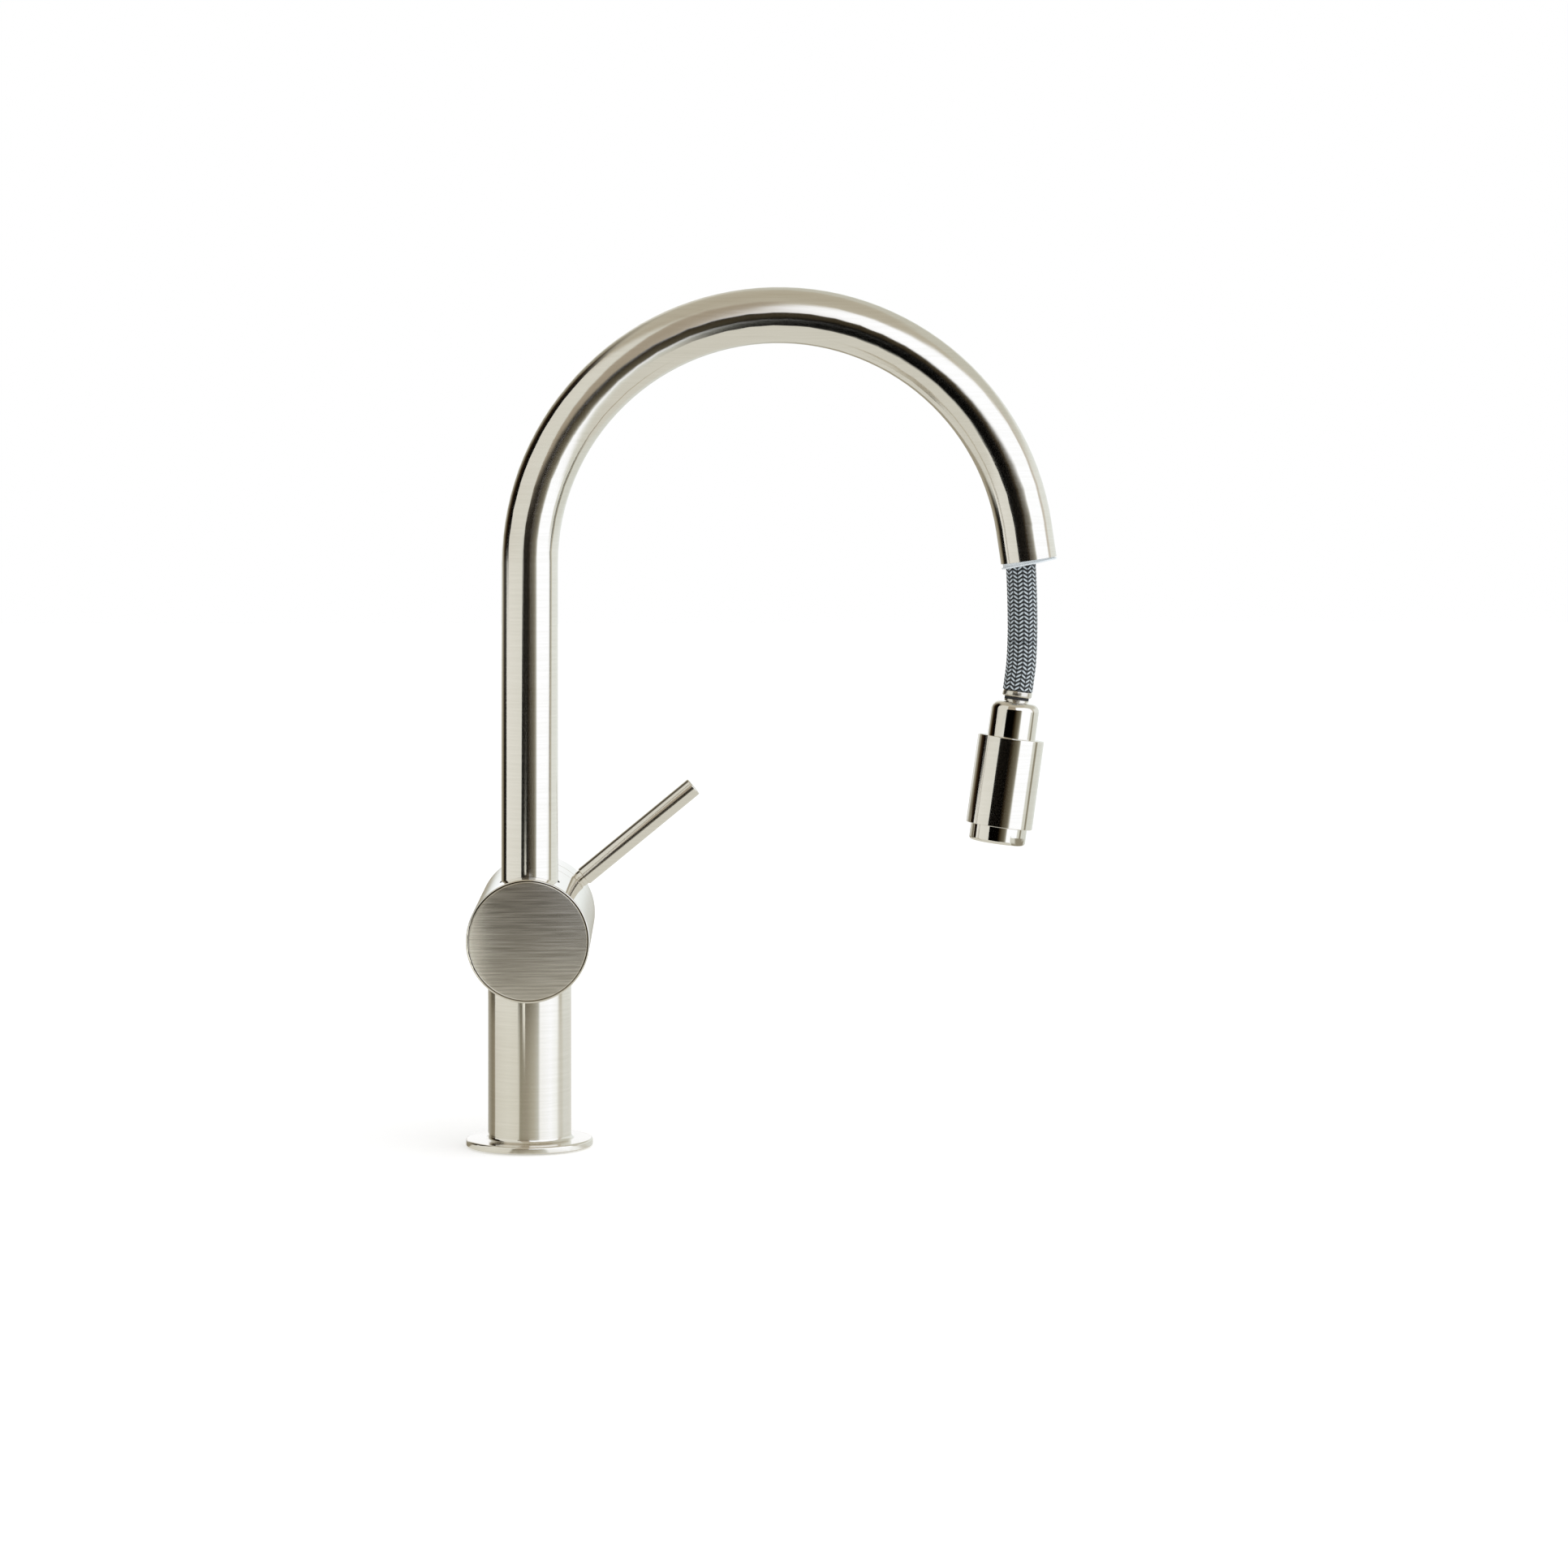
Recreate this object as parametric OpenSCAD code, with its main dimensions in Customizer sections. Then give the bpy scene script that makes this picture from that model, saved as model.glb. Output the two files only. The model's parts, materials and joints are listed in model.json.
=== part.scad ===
// Single-lever pull-down kitchen faucet, built as an assembly of separate pieces.
// Millimetres. Origin: centre of the deck flange's underside. +X points from the
// riser to the outlet, +Y along the valve housing towards the lever, +Z up.

/* [Column and deck flange] */
// Outer diameter of the column
column_d = 34.7; // [33:0.1:38]
// Wall of the column
column_wall = 2.6; // [2:0.1:3]
// Diameter of the deck flange
flange_d = 52.8; // [50:0.1:60]
// Thickness of the deck flange at its rim
flange_t = 3; // [2.8:0.1:5]
// Radius of the fillet where the column meets the flange
foot_fillet = 1.6; // [0.5:0.1:3]
// Section diameter of the deck seal
seal_d = 2.4; // [2:0.1:2.6]
// Bore radius of the thread for the fixing shank
shank_r = 14.2; // [13:0.1:14.4]
// Length of that thread
shank_len = 14; // [8:0.5:16]

/* [Valve housing] */
// Outer diameter of the housing, the bonnet ring and the handle cap
housing_d = 51; // [50:0.1:54]
// Wall of the housing
housing_wall = 2.5; // [2:0.1:3]
// Height of the housing's axis above the deck
housing_z = 87.2; // [84:0.1:110]
// How far the front face stands before the riser's axis
front_reach = 23; // [22:0.1:40]
// How far the housing reaches behind the riser's axis
back_reach = 43.4; // [43:0.1:50]
// Thickness of the front cover
cover_t = 2.8; // [2:0.1:3]
// How much the front cover's face bulges
cover_crown = 0.6; // [0.2:0.1:1]
// Width of the seams beside the bonnet ring
seam = 0.45; // [0.3:0.05:0.8]

/* [Bonnet and handle] */
// Visible length of the bonnet ring
ring_len = 23.4; // [22:0.1:26]
// Length of the handle cap
cap_len = 28.3; // [27:0.1:36]
// Wall of the handle cap
cap_wall = 2.8; // [2:0.1:3]
// How much smaller the dome under the handle cap is than the cap
dome_step = 5; // [4.6:0.1:5.4]
// Lever pin's angle above the horizontal
lever_angle = 39.3; // [0:1:90]
// Diameter of the lever pin
lever_d = 8.4; // [7:0.1:10]
// Distance from the valve's axis to the lever's tip
lever_reach = 89.3; // [60:1:120]
// How far the lever tilts to open
lever_tilt = 18; // [12:1:20]

/* [Cartridge] */
// Room between the cartridge body and the housing's bore
cart_room = 5.5; // [5.3:0.1:6]
// Radius of the cartridge's neck bore
neck_bore_r = 8.2; // [8:0.1:9]
// Diameter of the water ports in the ceramic discs
port_d = 4.8; // [4:0.1:5.2]
// Distance of the ports from the cartridge's axis
port_reach = 9.2; // [8.6:0.1:9.4]
// Radial running clearance between turning parts
run_gap = 0.08; // [0.03:0.01:0.1]

/* [Spout] */
// Outer diameter of the spout tube
tube_d = 23.6; // [22:0.1:24]
// Wall of the spout tube
tube_wall = 1; // [0.8:0.1:1.2]
// Radius of the arch at the tube's centre line
arch_r = 104; // [90:1:130]
// Height of the arch's centre above the deck
arch_z = 242.6; // [220:1:300]
// How far the arch stops short of a half turn, in degrees
arch_short = 8.5; // [0:0.5:15]
// Length of the straight nose after the arch
nose_len = 14.2; // [12:0.1:30]
// Gap round the tube where it enters the housing
tube_gap = 0.75; // [0.4:0.05:1]
// How much the seating ring at the mouth leans
mouth_lean = 2.7; // [0:0.1:3]

/* [Hose] */
// Outer diameter of the braided hose
hose_d = 12.4; // [12:0.1:12.6]
// Outer diameter of the water tube in the braid
liner_d = 9; // [8:0.1:10]
// Bore of the water tube
liner_bore = 6; // [5:0.1:7]

/* [Spray head] */
// Distance of the head's shoulder from the riser's axis
head_x = 201.6; // [198:0.1:206]
// Height of the head's shoulder above the deck
head_z = 169.7; // [160:0.1:171]
// How far the hanging head leans from the vertical
head_lean = 7.85; // [5:0.05:10]
// Diameter of the docking neck
neck_d = 20.2; // [18:0.1:20.2]
// Length of the docking neck
neck_len = 14.8; // [10:0.1:16]
// Diameter of the head's shell
shell_d = 27.8; // [26:0.1:32]
// Length of the head's shell
shell_len = 37.4; // [36:0.1:60]
// Wall of the head's shell
shell_wall = 1.5; // [1.2:0.1:2]
// Diameter of the aerator housing
aerator_d = 23.6; // [22:0.1:24]
// Visible length of the aerator housing
aerator_len = 7.1; // [4:0.1:8]
// Diameter of the crimped ferrule on the hose
ferrule_d = 12.4; // [11:0.1:12.4]

/* [Hidden] */

$fn = 72;
eps = 0.01;                      // overlap that a cutting tool reaches past a face
fit_gap = 0.1;                   // radial gap of a piece pushed into a bore

satin = [0.78, 0.76, 0.72];      // brushed nickel
brass = [0.80, 0.66, 0.36];
rubber = [0.10, 0.10, 0.11];
plastic = [0.88, 0.89, 0.90];
dark_plastic = [0.30, 0.31, 0.33];
ceramic = [0.93, 0.92, 0.88];
textile = [0.52, 0.56, 0.62];

// Column and flange
column_r = column_d / 2;
column_bore = column_r - column_wall;
flange_r = flange_d / 2;
rim_round = 0.5;
seal_r = flange_r - 4.6;         // centre line of the deck seal

// Housing and what follows along the valve's axis (places along +Y)
housing_r = housing_d / 2;
housing_bore = housing_r - housing_wall;
dome_r = housing_r - dome_step;
cart_r = housing_bore - cart_room;
y_front = -front_reach;
y_back = back_reach;
y_ring = y_back + seam;
y_ring_end = y_ring + ring_len;
y_cap = y_ring_end + seam;
y_cap_end = y_cap + cap_len;
edge_round = 0.8;
cover_r = housing_r - 0.9;       // the front cover leaves a thin rim of the housing
cover_edge = 0.3;                // rounding of the cover's edge

// Cartridge stack, from its seat in the core outwards
core_r = housing_bore - fit_gap;
y_seat = y_back - 9.4;
y_seal_end = y_seat + 2.2;
y_floor = y_seal_end + 1.8;      // inner floor of the cartridge body
port_disc_t = 3;
mixing_disc_t = 2.2;
y_port_disc = y_floor + 0.05;
y_mixing = y_port_disc + port_disc_t;
y_carrier = y_mixing + mixing_disc_t;
carrier_t = 4;
y_turret = y_carrier + carrier_t + 0.3;
turret_flange_t = 1.3;
y_chamber = y_turret + turret_flange_t + 0.1;  // roof of the cartridge's chamber
y_shoulder = y_chamber + 1.4;
chamber_r = cart_r - 2.9;
y_neck_end = y_shoulder + 7.1;
cup_wall = 2.9;
cup_r = cart_r + fit_gap + cup_wall;
nut_r = cart_r + 1;
y_cup_end = y_shoulder + 6.6;

// The stem tilts about a pin on the valve's axis
pivot_y = y_ring_end - 7.25;
pivot_r = 1.5;
ball_r = 2.2;
pocket_floor = 0.5;
ball_y = y_carrier + pocket_floor + ball_r + 0.15;
disc_travel = (pivot_y - ball_y) * sin(lever_tilt);
carrier_r = chamber_r - disc_travel - 0.7;
stem_w = 7;                      // across flats of the square end
dome_top = 12;                   // height of the dome's flat above the pivot
dome_wall = 1.8;
dome_hole = 10.2;
rim_room = y_cap - pivot_y;
boss_y = pivot_y + dome_top + 4;
boss_r = 7.5;
y_cap_floor = y_cap_end - 3;
lever_y = (y_cap + y_cap_end) / 2 + 0.15;
lever_r = lever_d / 2;
spigot_r = 2.9;
collar_h = 1.5;
grub_r = 2.5;
grub_y = lever_y + 4.5;

// Supply ports, in plan; the hose passes the core in front of them
hose_r = hose_d / 2;
hose_way = hose_r + 0.9;
hose_shift = -6.4;               // the hose runs this far before the axis in the column
core_z = 34;                     // underside of the core
thread_r = 3.46;                 // minor radius of the M8 fine threads
thread_len = 10;
way_r = 2.3;
inlet_x = 8.5;
inlet_y = 3.2;
outlet_y = 9.8;
knee_z = 62;                     // where the water ways turn towards the cartridge

// Spout
tube_r = tube_d / 2;
tube_bore = tube_r - tube_wall;
socket_z = housing_z - 11.2;     // floor of the spout's socket in the core
socket_r = tube_r + 2.1;
bush_floor = 1;
tube_z = socket_z + bush_floor;
bush_len = 6.5;
clip_z = tube_z + bush_len + 12.5;
clip_t = 1.2;
upper_bush_top = housing_z + sqrt(pow(housing_bore, 2) - pow(socket_r, 2)) - 0.2;
mouth_x = arch_r + arch_r * cos(arch_short) + nose_len * sin(arch_short);
mouth_z = arch_z + arch_r * sin(arch_short) - nose_len * cos(arch_short);
mouth_bore = tube_r - 0.5;       // widened end of the tube for the seating ring's lip
mouth_ring_gap = 1.05;
mouth_ring_t = 0.6;
joint_step = 0.02;

// Hose routes, in round numbers
hose_sides = 12;
meet_z = 90;                     // where the turning hose meets the standing one
hang_path = [                    // from inside the mouth to the ferrule, in X and Z
  [201.6, 268.5], [202, 267], [203.4, 261], [204.7, 253], [205.5, 244], [206, 234],
  [206.3, 223], [206.3, 212], [205.8, 201]
];
riser_path = [                   // from the arch down the riser, in X and Z
  [3, 236], [3, 215], [3, 190], [2.6, 165], [1.6, 140], [0.5, 118], [0, 100], [0, meet_z]
];
base_path = [                    // from the socket down the column, in Y and Z
  [0, meet_z - 0.1], [-0.2, 79], [-1.1, 72], [-2.3, 66], [-4, 58], [-5.5, 50], [-6.3, 44],
  [hose_shift, 38]
];
arch_hose_r = arch_r - 3;        // the pulled hose lies to the inside of the bend
hose_in_angle = 15;              // where the hose inside the arch meets the hanging hose
hose_end_z = 32;
hose_tail_len = 14;

// Spray head, along its own axis, 0 at the shoulder
neck_r = neck_d / 2;
shell_r = shell_d / 2;
shell_bore = shell_r - shell_wall;
aerator_r = aerator_d / 2;
nipple_r = 4.5;
nipple_z = -8;
neck_round = 3.2;
nipple_collar_z = neck_len + 0.3;
nipple_collar_h = 0.8;
ferrule_z = neck_len + 2.25;
ferrule_h = 2.7;
ferrule_r = ferrule_d / 2;
shell_roof = 2;
duct_r = 8;
duct_end = -shell_len + 9.2;
valve_r = 6;
duct_step = -10.5;
clip_seat = neck_len - 4;
wrench_depth = 0.9;
wrench_h = 3.4;
wrench_angle = -46;              // a flat's side, from the outlet towards the viewer
ring_thread = shell_bore - fit_gap;
ring_top = -shell_len + 7.4;

// ---------- helpers ----------

// Points of an arc round (cx, cy), from angle a0 to a1
function arc(cx, cy, r, a0, a1, n = 6) =
  [for (i = [0:n]) let (a = a0 + (a1 - a0) * i / n) [cx + r * cos(a), cy + r * sin(a)]];

module on_valve() { translate([0, 0, housing_z]) rotate([-90, 0, 0]) children(); }

module on_lever() { on_valve() rotate([0, 0, -lever_angle]) children(); }

module on_mouth() {
  translate([mouth_x, 0, mouth_z]) rotate([0, -arch_short, 0]) children();
}

module on_head() { translate([head_x, 0, head_z]) rotate([0, head_lean, 0]) children(); }

// A ring from z0 to z1
module ring(r_out, r_in, z0, z1) {
  translate([0, 0, z0]) difference() {
    cylinder(r = r_out, h = z1 - z0);
    translate([0, 0, -eps]) cylinder(r = r_in, h = z1 - z0 + 2 * eps);
  }
}

module rod(r, z0, z1) { translate([0, 0, z0]) cylinder(r = r, h = z1 - z0); }

module o_ring(r, section_r, z) {
  translate([0, 0, z]) rotate_extrude() translate([r, 0]) circle(r = section_r, $fn = 24);
}

// A round bar between two points
module bar(p, q, r) {
  d = q - p;
  translate(p)
    rotate([0, acos(d[2] / norm(d)), atan2(d[1], d[0])])
      cylinder(r = r, h = norm(d));
}

function unit(v) = v / norm(v);

// Direction of a path at point i
function tangent(path, i) =
  unit(path[min(i + 1, len(path) - 1)] - path[max(i - 1, 0)]);

// Points round a path that lies in a plane with normal n
function ring_points(path, n, r, sides) = [
  for (i = [0:len(path) - 1]) let (b = cross(tangent(path, i), n))
    for (k = [0:sides - 1]) let (a = 360 * k / sides) path[i] + r * (cos(a) * n + sin(a) * b)
];

// A tube swept along a path; r_in = 0 makes it solid
module swept_tube(path, n, r_out, r_in, sides = hose_sides) {
  rings = len(path);
  outer = ring_points(path, n, r_out, sides);
  inner = r_in > 0 ? ring_points(path, n, r_in, sides) : [];
  shift = rings * sides;
  last = (rings - 1) * sides;
  outer_faces = [
    for (i = [0:rings - 2]) for (k = [0:sides - 1]) let (j = (k + 1) % sides)
      [i * sides + k, (i + 1) * sides + k, (i + 1) * sides + j, i * sides + j]
  ];
  inner_faces = r_in > 0 ? [for (f = outer_faces) [for (k = [3:-1:0]) f[k] + shift]] : [];
  ends = r_in > 0
    ? [for (k = [0:sides - 1]) let (j = (k + 1) % sides) each [
        [k, j, j + shift, k + shift],
        [last + j, last + k, last + k + shift, last + j + shift]
      ]]
    : [[for (k = [0:sides - 1]) k], [for (k = [sides - 1:-1:0]) last + k]];
  polyhedron(concat(outer, inner), concat(outer_faces, inner_faces, ends), convexity = 6);
}

// ---------- column and deck ----------

module column() {
  color(satin) difference() {
    rotate_extrude() polygon(concat(
      [[shank_r, 0], [flange_r - rim_round, 0]],
      arc(flange_r - rim_round, rim_round, rim_round, -90, 0, 3),
      arc(flange_r - 0.9, flange_t - 0.9, 0.9, 0, 90, 4),
      arc(column_r + foot_fillet, flange_t + foot_fillet, foot_fillet, -90, -180, 6),
      [[column_r, housing_z], [column_bore, housing_z], [column_bore, shank_len],
       [shank_r, shank_len]]
    ));
    ring(seal_r + seal_d / 2 + 0.15, seal_r - seal_d / 2 - 0.15, -eps, seal_d - 0.2);
    on_valve() translate([0, 0, -housing_r]) cylinder(r = housing_r, h = 2 * housing_r);
  }
}

module deck_seal() {
  color(rubber) o_ring(seal_r, seal_d / 2 - 0.15, seal_d / 2 - 0.15);
}

// ---------- valve housing ----------

module valve_housing() {
  color(satin) difference() {
    on_valve() rotate_extrude() polygon(concat(
      [[cover_r, y_front]],
      arc(housing_r - 0.5, y_front + 0.5, 0.5, -90, 0, 4),
      [[housing_r, y_back], [housing_bore, y_back], [housing_bore, y_front + cover_t],
       [cover_r, y_front + cover_t]]
    ));
    translate([0, 0, housing_z]) cylinder(r = tube_r + tube_gap, h = housing_r + 1);
    translate([0, 0, housing_z - housing_r - 1]) cylinder(r = column_bore, h = housing_r);
  }
}

module front_cover() {
  crown_r = cover_r * cover_r / (2 * cover_crown);
  rim_y = y_front + cover_crown + cover_edge;
  color(satin) on_valve() rotate_extrude() polygon(concat(
    arc(0, y_front + crown_r, crown_r, -90, -90 + asin((cover_r - 2 * cover_edge) / crown_r), 8),
    arc(cover_r - 0.05 - cover_edge, rim_y, cover_edge, -75, 0, 3),
    [[cover_r - 0.05, y_front + cover_t], [0, y_front + cover_t]]
  ));
}

// The brass casting: drum in the housing, stem in the column, spout socket, water ways
module valve_core() {
  color(brass) difference() {
    union() {
      on_valve() rod(core_r, y_front + cover_t + 0.4, y_seat);
      on_valve() rod(cup_r, y_seat - 1, y_cup_end);
      rod(column_bore - fit_gap, core_z, housing_z);
    }
    rod(socket_r, socket_z, housing_z + housing_r);
    // the hose passage bends forward below the socket
    bar([0, 0, socket_z + 2], [0, hose_shift, core_z + 13], hose_way);
    translate([0, hose_shift, 0]) rod(hose_way + 0.3, core_z - eps, core_z + 16);
    // cartridge cup: bore, then the nut's thread
    on_valve() rod(cart_r + fit_gap, y_seat, y_cup_end);
    on_valve() rod(nut_r + fit_gap, y_shoulder, y_cup_end + eps);
    for (side = [-1, 1]) water_way(side * inlet_x, inlet_y, side);
    water_way(0, outlet_y, 0);
  }
}

// A thread, a drilled way up from it and a slanted one to the cartridge
module water_way(x, y, side) {
  knee = [x, y, knee_z - 1];
  slope = unit(port_place(side) - knee);
  translate([x, y, 0]) rod(thread_r, core_z - eps, core_z + thread_len);
  translate([x, y, 0]) rod(way_r, core_z, knee_z + 1);
  bar(knee, port_place(side) + 3 * slope, way_r - 0.2);
}

// Where a water way meets the cartridge: -1 and 1 the inlets, 0 the mixed water
function port_angle(side) = side == 0 ? 90 : 270 + side * 48;
function port_place(side) = [
  port_reach * cos(port_angle(side)), y_seat,
  housing_z + port_reach * sin(port_angle(side))
];

module ports(z0, z1) {
  for (side = [-1, 0, 1]) rotate([0, 0, -port_angle(side)])
    translate([port_reach, 0, 0]) rod(port_d / 2, z0, z1);
}

// ---------- bonnet and cartridge ----------

module bonnet_ring() {
  inner_r = dome_r - dome_wall;
  a_ring = asin((y_ring_end - pivot_y) / dome_r);
  a_top = asin(dome_top / dome_r);
  a_in = asin((dome_top - dome_wall) / inner_r);
  color(satin) on_valve() rotate_extrude() polygon(concat(
    [[cup_r + 0.3, y_ring - 7], [housing_bore - fit_gap, y_ring - 7],
     [housing_bore - fit_gap, y_ring], [housing_r - 0.25, y_ring],
     [housing_r, y_ring + 0.25], [housing_r, y_ring_end - 0.25],
     [housing_r - 0.25, y_ring_end]],
    arc(0, pivot_y, dome_r, a_ring, a_top, 8),
    [[dome_hole, pivot_y + dome_top], [dome_hole, pivot_y + dome_top - dome_wall]],
    arc(0, pivot_y, inner_r, a_in, 0, 8),
    [[inner_r, y_cup_end + 1.2], [cup_r + 0.3, y_cup_end + 0.6]]
  ));
}

module cartridge_nut() {
  color(brass) on_valve() difference() {
    ring(nut_r, neck_bore_r + 2.4, y_shoulder + 0.02, y_cup_end - 0.6);
    for (a = [45:90:315]) rotate([0, 0, a])
      translate([nut_r - 3.9, -1.6, y_cup_end - 2.8]) cube([6, 3.2, 4]);
  }
}

module cartridge_body() {
  color(dark_plastic) on_valve() difference() {
    union() {
      rod(cart_r, y_seal_end, y_shoulder);
      rod(neck_bore_r + 2.1, y_shoulder - 1, y_neck_end);
    }
    rod(chamber_r, y_floor, y_chamber);
    rod(neck_bore_r, y_chamber - eps, y_neck_end + eps);
    ports(y_seal_end - eps, y_floor + eps);
  }
}

module cartridge_seal() {
  color(rubber) on_valve() difference() {
    rod(port_reach + port_d / 2 + 2, y_seat, y_seal_end);
    ports(y_seat - eps, y_seal_end + eps);
  }
}

module port_disc() {
  color(ceramic) on_valve() difference() {
    rod(chamber_r - fit_gap, y_port_disc, y_mixing);
    ports(y_port_disc - eps, y_mixing + eps);
  }
}

// The sliding disc: a blind mixing chamber in its underside
module mixing_disc() {
  color(ceramic) on_lever() difference() {
    rod(carrier_r, y_mixing, y_carrier);
    translate([-2.2, 0, 0]) rod(5.2, y_mixing - eps, y_carrier - 0.8);
  }
}

// The stem's ball slides this block and the disc under it
module disc_carrier() {
  color(dark_plastic) on_lever() difference() {
    rod(carrier_r, y_carrier, y_carrier + carrier_t);
    rod(ball_r + run_gap, y_carrier + pocket_floor, y_carrier + carrier_t + eps);
  }
}

module turret() {
  slot_end = disc_travel + ball_r + 0.25;
  color(plastic) on_lever() difference() {
    union() {
      rod(chamber_r - fit_gap, y_turret, y_turret + turret_flange_t);
      rod(neck_bore_r - run_gap, y_turret, pivot_y + 3.4);
    }
    translate([-10, -2.9, y_turret + 4.4]) cube([20, 5.8, 20]);
    translate([-2.5, -2.4, y_turret - eps]) cube([2.5 + slot_end, 4.8, 8]);
    translate([0, 0, pivot_y]) rotate([90, 0, 0]) translate([0, 0, -12])
      cylinder(r = pivot_r, h = 24);
  }
}

module stem_pin() {
  half = sqrt(pow(neck_bore_r - run_gap, 2) - pow(pivot_r, 2)) - 0.3;
  color(satin) on_lever() translate([0, 0, pivot_y]) rotate([90, 0, 0])
    rod(pivot_r, -half, half);
}

// ---------- handle ----------

module stem() {
  color(satin) on_lever() difference() {
    union() {
      translate([0, 0, ball_y]) sphere(r = ball_r);
      rod(1.8, ball_y, pivot_y - 6);
      translate([-4, -2.8, pivot_y - 7]) cube([8, 5.6, 14]);
      translate([-stem_w / 2, -stem_w / 2, pivot_y + 5])
        cube([stem_w, stem_w, y_cap_floor - pivot_y - 6]);
    }
    translate([0, 0, pivot_y]) rotate([90, 0, 0]) rod(pivot_r + run_gap, -5, 5);
  }
}

module handle_cap() {
  socket_w = stem_w + 0.1;
  color(satin) on_lever() difference() {
    union() {
      difference() {
        rotate_extrude() polygon(concat(
          [[0, y_cap], [housing_r - 0.25, y_cap], [housing_r, y_cap + 0.25]],
          arc(housing_r - edge_round, y_cap_end - edge_round, edge_round, 0, 90, 4),
          [[0, y_cap_end]]
        ));
        rod(housing_r - cap_wall, y_cap - eps, y_cap_floor);
      }
      rod(boss_r, boss_y, y_cap_floor + 1);
    }
    translate([-socket_w / 2, -socket_w / 2, boss_y - eps])
      cube([socket_w, socket_w, y_cap_floor - boss_y]);
    // the rim is relieved opposite the lever, so that the cap can tilt
    translate([0, 0, pivot_y]) rotate([0, lever_tilt, 0])
      translate([-60, -60, rim_room - 60]) cube([120, 120, 60]);
    translate([0, 0, lever_y]) rotate([0, 90, 0]) cylinder(r = spigot_r, h = housing_r + 1);
    translate([0, 0, grub_y]) rotate([0, -90, 0]) cylinder(r = grub_r, h = housing_r + 1);
  }
}

module lever_pin() {
  foot = housing_r + collar_h;
  color(satin) on_lever() translate([0, 0, lever_y]) rotate([0, 90, 0]) union() {
    rod(spigot_r, stem_w / 2 + 0.15, foot + 1);
    translate([0, 0, foot]) rotate_extrude() polygon(concat(
      [[0, 0], [lever_r - 0.3, 0], [lever_r, 0.3]],
      arc(lever_r - 0.5, lever_reach - foot - 0.5, 0.5, 0, 90, 4),
      [[0, lever_reach - foot]]
    ));
  }
}

// Thin collar under the pin, saddled on the cap
module lever_collar() {
  color(satin) difference() {
    on_lever() translate([0, 0, lever_y]) rotate([0, 90, 0])
      ring(lever_r - 0.55, spigot_r, housing_r - 1.5, housing_r + collar_h);
    on_valve() rod(housing_r, y_cap, y_cap_end);
  }
}

module grub_screw() {
  color(satin) on_lever() translate([0, 0, grub_y]) rotate([0, -90, 0]) difference() {
    rod(grub_r, stem_w / 2 + 0.02, boss_r + 1);
    translate([0, 0, boss_r - 1.2]) cylinder(d = 2.9, h = 4, $fn = 6);
  }
}

module screw_plug() {
  color(satin) intersection() {
    on_lever() translate([0, 0, grub_y]) rotate([0, -90, 0])
      rod(grub_r, housing_r - cap_wall + 0.1, housing_r + 1);
    on_valve() rod(housing_r, y_cap, y_cap_end);
  }
}

// ---------- spout ----------

// Riser, arch and nose; the nose starts inside the arch and is a hair slimmer, so that
// the two join in one solid
module tube_run(r, over, z0) {
  rod(r, z0, arch_z);
  translate([arch_r, 0, arch_z]) rotate([90, 0, 0])
    rotate_extrude(start = arch_short, angle = 180 - arch_short, $fn = 144)
      translate([arch_r, 0]) circle(r = r);
  on_mouth() rod(r - joint_step, -over, nose_len + joint_step);
}

module spout_tube() {
  color(satin) difference() {
    tube_run(tube_r, 0, tube_z);
    tube_run(tube_bore, 1, tube_z - 1);
    on_mouth() rod(mouth_bore, -1, 6);
    difference() {
      rod(tube_r + 1, clip_z, clip_z + clip_t);
      rod(tube_r - 0.5, clip_z - 1, clip_z + clip_t + 1);
    }
  }
}

// Split ring in the tube's groove, under the upper bush
module spout_clip() {
  color(satin) translate([0, 0, clip_z + 0.1])
    rotate([0, 0, 20]) rotate_extrude(angle = 320)
      translate([tube_r - 0.45, 0]) square([2, clip_t - 0.2]);
}

module lower_bush() {
  color(plastic) {
    difference() {
      rod(socket_r - fit_gap / 2, socket_z, tube_z + bush_len);
      rod(tube_r + run_gap, tube_z, tube_z + bush_len + eps);
      rod(hose_way + 0.3, socket_z - eps, tube_z + eps);
    }
  }
}

module upper_bush() {
  color(plastic) ring(socket_r - fit_gap / 2, tube_r + run_gap, clip_z + clip_t + 0.3, upper_bush_top);
}

module spout_seals() {
  middle = (tube_r + socket_r) / 2;
  color(rubber) for (z = [tube_z + bush_len + 2.2, tube_z + bush_len + 7])
    o_ring(middle, (socket_r - tube_r) / 2 - 0.04, z);
}

// White seating ring at the mouth: a thin face and a short lip in the tube
module mouth_ring() {
  color("white") on_mouth() rotate([0, -mouth_lean, 0]) {
    difference() {
      union() {
        rod(tube_r - 0.05, -mouth_ring_gap - mouth_ring_t, -mouth_ring_gap);
        rod(tube_bore + 0.25, -mouth_ring_gap - mouth_ring_t / 2, 2.5);
      }
      rod(tube_bore - 0.05, -3, 3);
    }
  }
}

// ---------- hose ----------

function in_xz(p) = [p[0], 0, p[1]];
function in_yz(p) = [0, p[0], p[1]];

module riser_hose() {
  bend = [for (a = [hose_in_angle + 11:11:180]) a];
  arch = [for (a = concat([hose_in_angle, hose_in_angle + 1], bend)) arch_hose_point(a)];
  riser = [for (p = riser_path) in_xz(p)];
  color(textile) swept_tube(concat(arch, riser), [0, 1, 0], hose_r, 0);
}

function arch_hose_point(a) =
  [arch_r + arch_hose_r * cos(a), 0, arch_z + arch_hose_r * sin(a)];

module base_hose() {
  path = concat([for (p = base_path) in_yz(p)], [[0, hose_shift, hose_end_z]]);
  color(textile) swept_tube(path, [1, 0, 0], hose_r, 0);
}

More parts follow.
